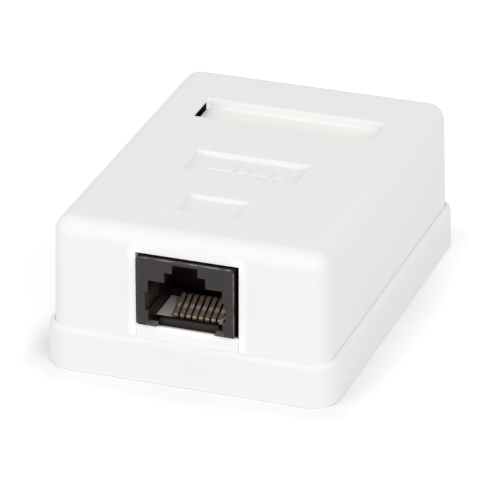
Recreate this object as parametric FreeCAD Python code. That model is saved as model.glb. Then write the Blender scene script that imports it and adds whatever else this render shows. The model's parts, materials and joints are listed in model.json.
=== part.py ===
"""Surface mount jack box: one 8-way modular jack on a circuit board in a two-part moulded box.

Millimetres. X is the width, Y the length with the jack at -Y, Z is up from the wall side.
The origin is the middle of the flat underside.
"""
import FreeCAD
import Part
import math
import os

V = FreeCAD.Vector
TINY = 1e-4

# Box outline
BASE_WIDTH = 47.0
BASE_LENGTH = 64.0
BOX_HEIGHT = 24.8
DRAFT_DEG = 1.0
SKIRT_HEIGHT = 7.1
SKIRT_CORNER_RADIUS = 4.2
SKIRT_EDGE_RADIUS = 0.9
FOOT_EDGE_RADIUS = 0.3
COVER_INSET = 1.1
COVER_EDGE_RADIUS = 2.85

# Base tray and its lap joint with the cover
FLOOR = 2.0
TRAY_WALL = 2.7
LEDGE_HEIGHT = 4.9
LAP_GAP = 0.04
SEAT_GAP = 0.05
TRAY_CORNER_RADIUS = 1.6

# Cover shell
COVER_WALL = 1.8
LID_TO_JACK = 2.05
COVER_INNER_RADIUS = 1.0
RECESS_CORNER_RADIUS = 0.5
RECESS_EDGE_RADIUS = 0.2
RECESS_FLOOR_RADIUS = 0.35
LABEL_EDGE_RADIUS = 0.15
LABEL_LENGTH = 30.0
LABEL_WIDTH = 6.9
LABEL_DEPTH = 1.5
LABEL_X = 0.5
LABEL_Y = 15.1
LABEL_BACKING = 1.4
LABEL_WALL = 1.35
LABEL_SKIN = 0.3
LABEL_TUCK = 2.2
LABEL_TUCK_LAND_REAR = 0.9
LABEL_TUCK_LAND_FRONT = 0.2
LABEL_NUB_ALONG = 7.1
LABEL_NUB_ACROSS = -1.5
LABEL_NUB_RADIUS = 0.5
LABEL_NUB_HEIGHT = 0.35
BADGE_LENGTH = 18.2
BADGE_WIDTH = 6.95
BADGE_DEPTH = 0.7
BADGE_Y = -3.85
BADGE_BARS = (4.6, 1.6, 3.1, 1.6)           # lengths of the plain raised bars
BADGE_BAR_GAP = 0.7
BADGE_BAR_WIDTH = 2.2
BADGE_BAR_HEIGHT = 0.16
GRIP_LENGTH = 9.4
GRIP_WIDTH = 5.7
GRIP_DEPTH = 0.6
GRIP_Y = -18.7

# Cable entry at the rear
ENTRY_WIDTH = 8.0
ENTRY_BOTTOM = 2.9
ENTRY_TOP = 9.0
ENTRY_RADIUS = 1.6

# Circuit board and what holds it
BOARD_WIDTH = 24.0
BOARD_LENGTH = 38.0
BOARD_THICKNESS = 1.6
BOARD_CORNER_RADIUS = 1.0
BOARD_FRONT_GAP = 0.35
BOSS_RADIUS = 2.4
BOSS_FROM_SIDE = 3.5
BOSS_FROM_REAR = 3.0
PILOT_RADIUS = 0.9
PILOT_DEPTH = 4.2
PEG_FROM_SIDE = 1.9
PEG_FROM_FRONT = 3.9
PEG_RADIUS = 1.1
PEG_SHOULDER_RADIUS = 1.9
PEG_STAND_OUT = 0.8
PEG_GAP = 0.12
GUSSET_THICKNESS = 1.0
GUSSET_REACH = 2.2
GUSSET_DROP = 1.0
GUSSET_BITE = 0.25

# Board screws
SCREW_SHANK_RADIUS = 0.86
SCREW_HEAD_RADIUS = 2.0
SCREW_HEAD_HEIGHT = 1.3
SCREW_DOME_HEIGHT = 0.8
SCREW_DOME_SHOULDER = (1.54, 0.24)           # out from the middle, down from the top
SCREW_POINT_RADIUS = 0.35
SCREW_LENGTH = 5.2
SCREW_HOLE_GAP = 0.35
SCREW_RECESS_WIDTH = 0.5
SCREW_RECESS_LENGTH = 2.2
SCREW_RECESS_DEPTH = 0.8

# Wall fixing holes, cable tie bridge and snap arms on the base
WALL_HOLE_RADIUS = 2.0
WALL_HOLE_SPACING = 32.0
WALL_HOLE_Y = 0.0
WALL_HOLE_RING = 1.9
WALL_HOLE_RISE = 0.8
BRIDGE_LENGTH = 4.0
BRIDGE_WIDTH = 5.2
BRIDGE_HEIGHT = 3.0
BRIDGE_TUNNEL_HEIGHT = 1.5
BRIDGE_TUNNEL_WIDTH = 3.2
BRIDGE_FROM_REAR = 9.0
SNAP_SPREAD = 30.0
SNAP_WIDTH = 6.0
SNAP_THICKNESS = 1.2
SNAP_HEIGHT = 10.0
SNAP_BEAD = 0.6
SNAP_BEAD_HEIGHT = 1.6
SNAP_BEAD_LEAD = 1.2
SNAP_GAP = 0.12
CATCH_REACH = 0.5
CATCH_WIDTH = 8.0
CATCH_HEIGHT = 1.4
CATCH_DROP = 0.2

# Jack
JACK_WIDTH = 15.5
JACK_DEPTH = 17.0
JACK_HEIGHT = 12.45
JACK_PROUD = 0.8
JACK_SIDE_GAP = 0.55
JACK_TOP_GAP = 0.25
JACK_CORNER_RADIUS = 0.7
JACK_EDGE_RADIUS = 0.25
JACK_CHIN = 1.05                            # rise of the front above the board, over the tongue
PLUG_WIDTH = 11.95
PLUG_HEIGHT = 6.8
PLUG_DEPTH = 12.0
PLUG_SILL = 0.95
SILL_REACH = 1.27
SILL_DEPTH = 1.1
SILL_LIP = 0.12
SILL_RISE = 0.4
LATCH_WIDTH = 6.6
LATCH_HEIGHT = 1.65
LATCH_SLOT_WIDTH = 4.12
LATCH_SLOT_HEIGHT = 1.45
GROOVE_DEPTH = 0.5
GROOVE_RISE = 1.7
GROOVE_HEIGHT = 3.1
GROOVE_LENGTH = 5.0
JACK_PEG_RADIUS = 1.3
JACK_PEG_SPACING = 12.4
JACK_PEG_FROM_FACE = 10.5
JACK_PEG_LENGTH = 2.4
BAR_SETBACK = 1.9
BAR_THICKNESS = 0.5
BAR_LIFT = 0.45
BAR_HEIGHT = 1.5
BAR_CHEEK_LENGTH = 1.5
BAR_CHEEK_WIDTH = 1.67
BAR_CHEEK_HEIGHT = 1.0

# Tongue of the base that closes the foot of the jack opening
TONGUE_SIDE_GAP = 0.05
TONGUE_TOP_GAP = 0.25
TONGUE_THICKNESS = 1.6
TONGUE_LAND = 0.5

# Contact carrier and its eight spring contacts
CARRIER_GAP = 0.06
CARRIER_THICKNESS = 1.5
CARRIER_REAR_HEIGHT = 2.4
CARRIER_WEB = 0.15
PIT_SIDE = 0.13
COMB_THICKNESS = 2.0
COMB_HEIGHT = 1.3
COMB_BACK = 0.5
COMB_SLOT_GAP = 0.06
CONTACTS = 8
CONTACT_PITCH = 1.016
CONTACT_WIDTH = 0.74
CONTACT_THICKNESS = 0.25
CONTACT_BEND_RADIUS = 0.3
CONTACT_CREST_REACH = 3.85
CONTACT_CREST_RADIUS = 0.8
CONTACT_CLIMB_DEG = 24.2
CONTACT_FALL_DEG = 38.0
CONTACT_SETBACK = 3.0
CONTACT_PIT_GAP = 0.06
CONTACT_END_GAP = 0.2
TAIL_ROWS = (13.0, 15.54)                   # behind the face of the jack
TAIL_STAND_OUT = 1.4
TAIL_HOLE_GAP = 0.12

# Punch-down blocks with their forked clips
BLOCK_WIDTH = 6.5
BLOCK_HEIGHT = 10.5
BLOCK_FROM_SIDE = 0.55
BLOCK_END = 0.9
BLOCK_BEHIND_JACK = 1.9
WAYS_PER_BLOCK = 4
WAY_PITCH = 3.6
WIRE_SLOT_WIDTH = 1.25
WIRE_SLOT_DEPTH = 6.2
LEAD_IN = 0.6
CLIP_WIDTH = 2.6
CLIP_THICKNESS = 0.5
CLIP_DROP = 1.6
CLIP_POCKET_GAP = 0.05
CLIP_SLIT_WIDTH = 0.4
CLIP_SLIT_DEPTH = 4.4
CLIP_MOUTH = 0.8
CLIP_TAIL_WIDTH = 0.8
CLIP_SEAT = 1.0
PAD_GAP = 0.1

# Ribs under the lid that keep the jack down
HOLD_RIB_THICKNESS = 1.2
HOLD_RIB_LENGTH = 11.0
HOLD_RIB_GAP = 0.2
HOLD_RIBS_FROM_FACE = (5.0, 13.5)

# Places worked out from the sizes above
SLOPE = math.tan(math.radians(DRAFT_DEG))
COVER_WIDTH = BASE_WIDTH - 2 * COVER_INSET
COVER_LENGTH = BASE_LENGTH - 2 * COVER_INSET
RIM_Z = LEDGE_HEIGHT + SEAT_GAP
CEILING_Z = BOX_HEIGHT - COVER_WALL
JACK_TOP = CEILING_Z - LID_TO_JACK
BOARD_TOP = JACK_TOP - JACK_HEIGHT
BOARD_BOTTOM = BOARD_TOP - BOARD_THICKNESS
BOSS_SPACING = BOARD_WIDTH - 2 * BOSS_FROM_SIDE
PEG_SPACING = BOARD_WIDTH - 2 * PEG_FROM_SIDE
BLOCK_SPACING = BOARD_WIDTH - 2 * BLOCK_FROM_SIDE - BLOCK_WIDTH
JACK_FACE_Y = -COVER_LENGTH / 2 - JACK_PROUD
JACK_BACK_Y = JACK_FACE_Y + JACK_DEPTH
CHIN_Z = BOARD_TOP + JACK_CHIN
SILL_Z = CHIN_Z + PLUG_SILL
PLUG_TOP = SILL_Z + PLUG_HEIGHT
OPENING_WIDTH = JACK_WIDTH + 2 * JACK_SIDE_GAP
OPENING_TOP = JACK_TOP + JACK_TOP_GAP
TONGUE_TOP = CHIN_Z - TONGUE_TOP_GAP
TONGUE_BACK_Y = -COVER_LENGTH / 2 + TONGUE_THICKNESS
BOARD_FRONT_Y = TONGUE_BACK_Y + BOARD_FRONT_GAP
BOARD_REAR_Y = BOARD_FRONT_Y + BOARD_LENGTH
BAR_Y = JACK_FACE_Y + BAR_SETBACK
BAR_BOTTOM = BOARD_TOP + BAR_LIFT
PIT_FRONT_Y = BAR_Y + BAR_THICKNESS
CARRIER_FRONT_Y = BAR_Y + BAR_CHEEK_LENGTH + CARRIER_GAP
CARRIER_TOP = BOARD_TOP + CARRIER_THICKNESS
CARRIER_WIDTH = PLUG_WIDTH - 2 * CARRIER_GAP
PIT_FLOOR = BOARD_TOP + CARRIER_WEB
PIT_WIDTH = CONTACTS * CONTACT_PITCH + 2 * PIT_SIDE
CAVITY_BACK_Y = JACK_FACE_Y + PLUG_DEPTH
COMB_FRONT_Y = CAVITY_BACK_Y - COMB_THICKNESS
CONTACT_LOW_Z = PIT_FLOOR + CONTACT_PIT_GAP + CONTACT_THICKNESS / 2
SLOT_WIDTH = CONTACT_WIDTH + 2 * COMB_SLOT_GAP
BLOCK_LENGTH = WAYS_PER_BLOCK * WAY_PITCH + 2 * BLOCK_END
BLOCK_FRONT_Y = JACK_BACK_Y + BLOCK_BEHIND_JACK
BLOCK_TOP = BOARD_TOP + BLOCK_HEIGHT
CLIP_TOP = BLOCK_TOP - CLIP_DROP
SCREW_HOLE_RADIUS = SCREW_SHANK_RADIUS + SCREW_HOLE_GAP
BOSS_Y = BOARD_REAR_Y - BOSS_FROM_REAR
PEG_Y = BOARD_FRONT_Y + PEG_FROM_FRONT
JACK_PEG_Y = JACK_FACE_Y + JACK_PEG_FROM_FACE
CONTACT_HOLE_RADIUS = math.hypot(CONTACT_WIDTH, CONTACT_THICKNESS) / 2 + TAIL_HOLE_GAP
CLIP_HOLE_RADIUS = math.hypot(CLIP_TAIL_WIDTH, CLIP_THICKNESS) / 2 + TAIL_HOLE_GAP
LAP_HALF_WIDTH = COVER_WIDTH / 2 + SLOPE * (SKIRT_HEIGHT - RIM_Z) + LAP_GAP
LAP_HALF_LENGTH = COVER_LENGTH / 2 + SLOPE * (SKIRT_HEIGHT - RIM_Z) + LAP_GAP
LAP_FRONT_Y = -LAP_HALF_LENGTH
SNAP_TOP = FLOOR + SNAP_HEIGHT
CATCH_INNER_X = COVER_WIDTH / 2 - COVER_WALL - SLOPE * (SNAP_TOP - SKIRT_HEIGHT) - CATCH_REACH
SNAP_TIP_X = CATCH_INNER_X - SNAP_GAP


def box(x0, x1, y0, y1, z0, z1):
    return Part.makeBox(x1 - x0, y1 - y0, z1 - z0, V(x0, y0, z0))


def centred_box(width, y0, y1, z0, z1, x=0.0):
    return box(x - width / 2, x + width / 2, y0, y1, z0, z1)


def post(radius, x, y, z0, z1):
    return Part.makeCylinder(radius, z1 - z0, V(x, y, z0))


def edges_along_y(shape):
    return [e for e in shape.Edges if max(e.BoundBox.XLength, e.BoundBox.ZLength) < TINY]


def upright_edges(shape):
    """Edges that climb between the lowest and the highest level of a frustum or a prism."""
    climb = shape.BoundBox.ZLength * 0.9
    return [e for e in shape.Edges if e.BoundBox.ZLength > climb]


def edges_at(shape, z):
    """Edges that lie flat at one height."""
    return [e for e in shape.Edges if max(abs(e.BoundBox.ZMin - z), abs(e.BoundBox.ZMax - z)) < TINY]


def frustum(width, length, z0, z1, slope):
    """Four-sided block whose walls lean in by slope as they rise."""
    def ring(z):
        a = width / 2 - slope * (z - z0)
        b = length / 2 - slope * (z - z0)
        return Part.makePolygon([V(-a, -b, z), V(a, -b, z), V(a, b, z), V(-a, b, z), V(-a, -b, z)])
    return Part.makeLoft([ring(z0), ring(z1)], True, True)


def rounded_block(width, length, z0, z1, radius, slope=0.0):
    block = frustum(width, length, z0, z1, slope)
    return block.makeFillet(radius, upright_edges(block))


def plan_block(x0, x1, y0, y1, z0, z1, radius):
    """Upright block with rounded plan corners, placed by its sides."""
    block = box(x0, x1, y0, y1, z0, z1)
    return block.makeFillet(radius, upright_edges(block))


def fuse(first, others):
    return first.fuse(others).removeSplitter() if others else first


def cut(shape, tools):
    return shape.cut(tools).removeSplitter() if tools else shape


def cover_envelope(z0):
    """Outer form of the cover above z0, with its edges and upright corners rounded alike."""
    drop = SLOPE * (SKIRT_HEIGHT - z0)
    block = frustum(COVER_WIDTH + 2 * drop, COVER_LENGTH + 2 * drop, z0, BOX_HEIGHT, SLOPE)
    edges = upright_edges(block) + edges_at(block, BOX_HEIGHT)
    return block.makeFillet(COVER_EDGE_RADIUS, edges)


def entry_opening(y0, y1, z0):
    """Cable way through the rear walls, with a rounded head."""
    way = centred_box(ENTRY_WIDTH, y0, y1, z0, ENTRY_TOP)
    head = [e for e in edges_along_y(way) if e.BoundBox.ZMin > ENTRY_TOP - TINY]
    return way.makeFillet(ENTRY_RADIUS, head)


def pocket(length, width, depth, y, x=0.0):
    """Tool for a recess sunk in the lid."""
    return plan_block(x - length / 2, x + length / 2, y - width / 2, y + width / 2,
                      BOX_HEIGHT - depth, BOX_HEIGHT + depth, RECESS_CORNER_RADIUS)


def dished(recess, depth):
    """The same tool with a rounded foot, so that the floor sweeps up into the walls."""
    return recess.makeFillet(RECESS_FLOOR_RADIUS, edges_at(recess, BOX_HEIGHT - depth))


def contact_x(i):
    return (i - (CONTACTS - 1) / 2) * CONTACT_PITCH


def tail_y(i):
    return JACK_FACE_Y + TAIL_ROWS[i % 2]


def way_places():
    """Middle of each wire slot, left block first, front to back."""
    places = []
    for side in (-1, 1):
        for k in range(WAYS_PER_BLOCK):
            y = BLOCK_FRONT_Y + BLOCK_END + (k + 0.5) * WAY_PITCH
            places.append((side * BLOCK_SPACING / 2, y))
    return places


def prism(points, axis, start, length):
    """Flat outline pushed along one axis; points are given in the other two axes, in X, Y, Z order."""
    place = {"x": lambda p: V(start, p[0], p[1]), "y": lambda p: V(p[0], start, p[1])}[axis]
    push = {"x": V(length, 0, 0), "y": V(0, length, 0)}[axis]
    outline = [place(p) for p in points]
    return Part.Face(Part.makePolygon(outline + outline[:1])).extrude(push)


def skirt():
    """Drafted, rounded outside of the tray, still solid."""
    block = frustum(BASE_WIDTH, BASE_LENGTH, 0, SKIRT_HEIGHT, SLOPE)
    block = block.makeFillet(SKIRT_CORNER_RADIUS, upright_edges(block))
    block = block.makeFillet(SKIRT_EDGE_RADIUS, edges_at(block, SKIRT_HEIGHT))
    return block.makeFillet(FOOT_EDGE_RADIUS, edges_at(block, 0))


def tongue():
    """Upstand that closes the foot of the jack opening, flush with the front of the cover."""
    width = OPENING_WIDTH - 2 * TONGUE_SIDE_GAP
    blank = centred_box(width, -BASE_LENGTH / 2, TONGUE_BACK_Y, LEDGE_HEIGHT, TONGUE_TOP)
    upper = blank.common(cover_envelope(LEDGE_HEIGHT))
    lower = centred_box(width, LAP_FRONT_Y, TONGUE_BACK_Y, LEDGE_HEIGHT, SKIRT_HEIGHT)
    bevel = TONGUE_THICKNESS - TONGUE_LAND
    back_bevel = prism([(TONGUE_BACK_Y - bevel, TONGUE_TOP), (TONGUE_BACK_Y, TONGUE_TOP),
                        (TONGUE_BACK_Y, TONGUE_TOP - bevel)], "x", -width / 2, width)
    return upper.fuse(lower).cut(back_bevel)


def gusset(x, y, side):
    """Sloping web between a board boss and the floor."""
    reach = BOSS_RADIUS + GUSSET_REACH
    top = side * (BOSS_RADIUS - GUSSET_BITE)
    rise = BOARD_BOTTOM - GUSSET_DROP
    outline = [(x, FLOOR), (x + side * reach, FLOOR), (x + top, rise), (x, rise)]
    return prism(outline, "y", y - GUSSET_THICKNESS / 2, GUSSET_THICKNESS)


def snap_arm(side, y):
    """Springy upright arm with a bead, drawn at the inward place it takes as the cover passes."""
    outer = SNAP_TIP_X - SNAP_BEAD
    blade = box(outer - SNAP_THICKNESS, outer, y - SNAP_WIDTH / 2, y + SNAP_WIDTH / 2, FLOOR, SNAP_TOP)
    bead = prism([(outer, SNAP_TOP - SNAP_BEAD_HEIGHT), (SNAP_TIP_X, SNAP_TOP - SNAP_BEAD_LEAD),
                  (outer, SNAP_TOP)], "y", y - SNAP_WIDTH / 2, SNAP_WIDTH)
    arm = blade.fuse(bead)
    return arm if side > 0 else arm.mirror(V(0, 0, 0), V(1, 0, 0))


def tie_bridge():
    """Bridge on the floor for a cable tie, its tunnel running across the box."""
    y0 = BASE_LENGTH / 2 - TRAY_WALL - BRIDGE_FROM_REAR
    y1 = y0 + BRIDGE_WIDTH
    middle = (y0 + y1) / 2
    tunnel = centred_box(2 * BRIDGE_LENGTH, middle - BRIDGE_TUNNEL_WIDTH / 2,
                         middle + BRIDGE_TUNNEL_WIDTH / 2, FLOOR, FLOOR + BRIDGE_TUNNEL_HEIGHT)
    return centred_box(BRIDGE_LENGTH, y0, y1, FLOOR, FLOOR + BRIDGE_HEIGHT).cut(tunnel)


def base():
    lap = rounded_block(2 * LAP_HALF_WIDTH, 2 * LAP_HALF_LENGTH, LEDGE_HEIGHT, SKIRT_HEIGHT + 1,
                        COVER_EDGE_RADIUS + LAP_GAP)
    tray = rounded_block(BASE_WIDTH - 2 * TRAY_WALL, BASE_LENGTH - 2 * TRAY_WALL, FLOOR, SKIRT_HEIGHT,
                         TRAY_CORNER_RADIUS)
    shape = cut(skirt(), [lap, tray])
    features = [tongue(), tie_bridge()]
    holes = [entry_opening(BASE_LENGTH / 2 - TRAY_WALL - 1, BASE_LENGTH / 2 + 1, ENTRY_BOTTOM)]
    for side in (-1, 1):
        boss_x = side * BOSS_SPACING / 2
        peg_x = side * PEG_SPACING / 2
        hole_x = side * WALL_HOLE_SPACING / 2
        features.append(post(BOSS_RADIUS, boss_x, BOSS_Y, FLOOR, BOARD_BOTTOM))
        features.append(gusset(boss_x, BOSS_Y, side))
        features.append(post(PEG_SHOULDER_RADIUS, peg_x, PEG_Y, FLOOR, BOARD_BOTTOM))
        features.append(post(PEG_RADIUS, peg_x, PEG_Y, BOARD_BOTTOM, BOARD_TOP + PEG_STAND_OUT))
        ring = WALL_HOLE_RADIUS + WALL_HOLE_RING
        features.append(post(ring, hole_x, WALL_HOLE_Y, FLOOR, FLOOR + WALL_HOLE_RISE))
        features.extend(snap_arm(side, y) for y in (-SNAP_SPREAD / 2, SNAP_SPREAD / 2))
        holes.append(post(PILOT_RADIUS, boss_x, BOSS_Y, BOARD_BOTTOM - PILOT_DEPTH, BOARD_BOTTOM + 1))
        holes.append(post(WALL_HOLE_RADIUS, hole_x, WALL_HOLE_Y, -1, FLOOR + WALL_HOLE_RISE + 1))
    return cut(fuse(shape, features), holes)


def catch_rib(side, y):
    """Rib inside the side wall that hooks under the bead of a snap arm."""
    top = SNAP_TOP - SNAP_BEAD_HEIGHT - CATCH_DROP
    wall = CATCH_INNER_X + CATCH_REACH + COVER_WALL / 2
    outline = [(CATCH_INNER_X, top), (wall, top), (wall, top - CATCH_HEIGHT - CATCH_REACH),
               (CATCH_INNER_X + CATCH_REACH, top - CATCH_HEIGHT - CATCH_REACH),
               (CATCH_INNER_X, top - CATCH_HEIGHT)]
    rib = prism(outline, "y", y - CATCH_WIDTH / 2, CATCH_WIDTH)
    return rib if side > 0 else rib.mirror(V(0, 0, 0), V(1, 0, 0))


def hold_rib(from_face):
    y = JACK_FACE_Y + from_face
    return centred_box(HOLD_RIB_LENGTH, y, y + HOLD_RIB_THICKNESS, JACK_TOP + HOLD_RIB_GAP,
                       CEILING_Z + COVER_WALL / 4)


def badge_bars():
    """Row of plain raised bars on the floor of the badge recess."""
    total = sum(BADGE_BARS) + BADGE_BAR_GAP * (len(BADGE_BARS) - 1)
    floor_z = BOX_HEIGHT - BADGE_DEPTH
    bars = []
    x = -total / 2
    for length in BADGE_BARS:
        bars.append(box(x, x + length, BADGE_Y - BADGE_BAR_WIDTH / 2, BADGE_Y + BADGE_BAR_WIDTH / 2,
                        floor_z - BADGE_BAR_HEIGHT / 2, floor_z + BADGE_BAR_HEIGHT))
        x += length + BADGE_BAR_GAP
    return bars


def label_backing():
    """Thickening under the lid that carries the floor and the walls of the label recess."""
    x1 = LABEL_LENGTH / 2 + LABEL_WALL
    half = LABEL_WIDTH / 2 + LABEL_WALL
    bottom = BOX_HEIGHT - LABEL_DEPTH - LABEL_BACKING
    return plan_block(LABEL_X - x1 - LABEL_TUCK, LABEL_X + x1, LABEL_Y - half, LABEL_Y + half, bottom,
                      CEILING_Z + COVER_WALL / 4, RECESS_CORNER_RADIUS)


def label_tuck():
    """Slot under the skin at one end of the label recess, open to the hollow below."""
    end_x = LABEL_X - LABEL_LENGTH / 2
    x0 = end_x - LABEL_TUCK
    y0 = LABEL_Y - LABEL_WIDTH / 2 + LABEL_TUCK_LAND_FRONT
    y1 = LABEL_Y + LABEL_WIDTH / 2 - LABEL_TUCK_LAND_REAR
    floor_z = BOX_HEIGHT - LABEL_DEPTH
    slot = box(x0, end_x + RECESS_CORNER_RADIUS, y0, y1, floor_z, BOX_HEIGHT - LABEL_SKIN)
    well = box(x0, end_x, y0, y1, floor_z - 2 * LABEL_BACKING, BOX_HEIGHT - LABEL_SKIN)
    return [slot, well]


def cover():
    hollow_z = RIM_Z - 1
    grow = SLOPE * (SKIRT_HEIGHT - hollow_z) - COVER_WALL
    hollow = frustum(COVER_WIDTH + 2 * grow, COVER_LENGTH + 2 * grow, hollow_z, CEILING_Z, SLOPE)
    hollow = hollow.makeFillet(COVER_INNER_RADIUS, upright_edges(hollow) + edges_at(hollow, CEILING_Z))
    shape = cover_envelope(RIM_Z).cut(hollow)
    ribs = [label_backing()] + [hold_rib(place) for place in HOLD_RIBS_FROM_FACE]
    for side in (-1, 1):
        ribs.extend(catch_rib(side, y) for y in (-SNAP_SPREAD / 2, SNAP_SPREAD / 2))
    shape = fuse(shape, ribs)
    pockets = [pocket(LABEL_LENGTH, LABEL_WIDTH, LABEL_DEPTH, LABEL_Y, LABEL_X),
               dished(pocket(BADGE_LENGTH, BADGE_WIDTH, BADGE_DEPTH, BADGE_Y), BADGE_DEPTH),
               dished(pocket(GRIP_LENGTH, GRIP_WIDTH, GRIP_DEPTH, GRIP_Y), GRIP_DEPTH)]
    shape = cut(shape, pockets)
    for radius, for_label in ((RECESS_EDGE_RADIUS, False), (LABEL_EDGE_RADIUS, True)):
        mouths = [e for e in edges_at(shape, BOX_HEIGHT) if is_mouth(e) and is_label(e) == for_label]
        shape = shape.makeFillet(radius, mouths)
    floor_z = BOX_HEIGHT - LABEL_DEPTH
    nub = post(LABEL_NUB_RADIUS, LABEL_X + LABEL_NUB_ALONG, LABEL_Y + LABEL_NUB_ACROSS,
               floor_z - LABEL_BACKING / 2, floor_z + LABEL_NUB_HEIGHT)
    shape = fuse(shape, badge_bars() + [nub])
    opening = centred_box(OPENING_WIDTH, -BASE_LENGTH, -COVER_LENGTH / 2 + 1.5 * COVER_WALL,
                          RIM_Z - 1, OPENING_TOP)
    entry = entry_opening(COVER_LENGTH / 2 - 1.5 * COVER_WALL, BASE_LENGTH, RIM_Z - 1)
    return cut(shape, label_tuck() + [opening, entry])


def is_mouth(edge):
    """True for a lid edge that belongs to a recess and not to the outline of the lid."""
    middle = edge.CenterOfMass
    far = COVER_EDGE_RADIUS + COVER_WALL
    return abs(middle.x) < COVER_WIDTH / 2 - far and abs(middle.y) < COVER_LENGTH / 2 - far


def is_label(edge):
    return edge.CenterOfMass.y > LABEL_Y - LABEL_WIDTH


def circuit_board():
    board = plan_block(-BOARD_WIDTH / 2, BOARD_WIDTH / 2, BOARD_FRONT_Y, BOARD_REAR_Y,
                       BOARD_BOTTOM, BOARD_TOP, BOARD_CORNER_RADIUS)
    spots = [(contact_x(i), tail_y(i), CONTACT_HOLE_RADIUS) for i in range(CONTACTS)]
    spots += [(x, y, CLIP_HOLE_RADIUS) for x, y in way_places()]
    for side in (-1, 1):
        spots.append((side * BOSS_SPACING / 2, BOSS_Y, SCREW_HOLE_RADIUS))
        spots.append((side * PEG_SPACING / 2, PEG_Y, PEG_RADIUS + PEG_GAP))
        spots.append((side * JACK_PEG_SPACING / 2, JACK_PEG_Y, JACK_PEG_RADIUS + PEG_GAP))
    return cut(board, [post(r, x, y, BOARD_BOTTOM - 1, BOARD_TOP + 1) for x, y, r in spots])


def comb():
    """Toothed rail at the foot of the jack's back wall, with a slot for the end of each contact."""
    top = CARRIER_TOP + COMB_HEIGHT
    rail = centred_box(PLUG_WIDTH, COMB_FRONT_Y, CAVITY_BACK_Y, CARRIER_TOP + CARRIER_GAP, top)
    slots = [centred_box(SLOT_WIDTH, COMB_FRONT_Y - 1, CAVITY_BACK_Y - COMB_BACK, CARRIER_TOP - 1, top + 1,
                         contact_x(i)) for i in range(CONTACTS)]
    return cut(rail, slots)


def jack_housing():
    shell = centred_box(JACK_WIDTH, JACK_FACE_Y, JACK_BACK_Y, BOARD_TOP, JACK_TOP)
    upper = [e for e in edges_along_y(shell) if e.BoundBox.ZMin > CHIN_Z]
    shell = shell.makeFillet(JACK_CORNER_RADIUS, upper)
    chin = centred_box(2 * JACK_WIDTH, JACK_FACE_Y - 1, BOARD_FRONT_Y, BOARD_TOP - 1, CHIN_Z)
    shell = shell.cut(chin)
    rim = [e for e in shell.Edges if abs(e.BoundBox.YMax - JACK_FACE_Y) < TINY]
    shell = shell.makeFillet(JACK_EDGE_RADIUS, rim)
    mouth_y = JACK_FACE_Y - 1
    sill_y = JACK_FACE_Y + SILL_DEPTH
    lip_z = CHIN_Z + SILL_LIP
    ramp = [(mouth_y, lip_z), (JACK_FACE_Y, lip_z), (sill_y, lip_z + SILL_RISE),
            (sill_y, SILL_Z + SILL_LIP), (mouth_y, SILL_Z + SILL_LIP)]
    latch_top = PLUG_TOP + LATCH_HEIGHT
    hollows = [
        centred_box(PLUG_WIDTH, mouth_y, CAVITY_BACK_Y, SILL_Z, PLUG_TOP),
        centred_box(PLUG_WIDTH - 2 * SILL_REACH, mouth_y, CAVITY_BACK_Y, BOARD_TOP - 1, SILL_Z),
        centred_box(PLUG_WIDTH, sill_y, CAVITY_BACK_Y, BOARD_TOP - 1, SILL_Z),
        prism(ramp, "x", -PLUG_WIDTH / 2, PLUG_WIDTH),
        centred_box(LATCH_WIDTH, mouth_y, CAVITY_BACK_Y, PLUG_TOP, latch_top),
        centred_box(LATCH_SLOT_WIDTH, mouth_y, CAVITY_BACK_Y, latch_top, latch_top + LATCH_SLOT_HEIGHT),
        centred_box(PLUG_WIDTH + 2 * GROOVE_DEPTH, mouth_y, JACK_FACE_Y + GROOVE_LENGTH,
                    SILL_Z + GROOVE_RISE, SILL_Z + GROOVE_RISE + GROOVE_HEIGHT),
        centred_box(PLUG_WIDTH, CAVITY_BACK_Y, JACK_BACK_Y + 1, BOARD_TOP - 1,
                    BOARD_TOP + CARRIER_REAR_HEIGHT + CARRIER_GAP),
    ]
    bar = centred_box(PLUG_WIDTH - 2 * SILL_REACH, BAR_Y, PIT_FRONT_Y, BAR_BOTTOM, BAR_BOTTOM + BAR_HEIGHT)
    added = [bar, comb()]
    for side in (-1, 1):
        cheek_x = side * (PLUG_WIDTH - BAR_CHEEK_WIDTH) / 2
        added.append(centred_box(BAR_CHEEK_WIDTH, BAR_Y, BAR_Y + BAR_CHEEK_LENGTH, BAR_BOTTOM,
                                 BAR_BOTTOM + BAR_CHEEK_HEIGHT, cheek_x))
        added.append(post(JACK_PEG_RADIUS, side * JACK_PEG_SPACING / 2, JACK_PEG_Y,
                          BOARD_TOP - JACK_PEG_LENGTH, BOARD_TOP))
    return fuse(cut(shell, hollows), added)


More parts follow.
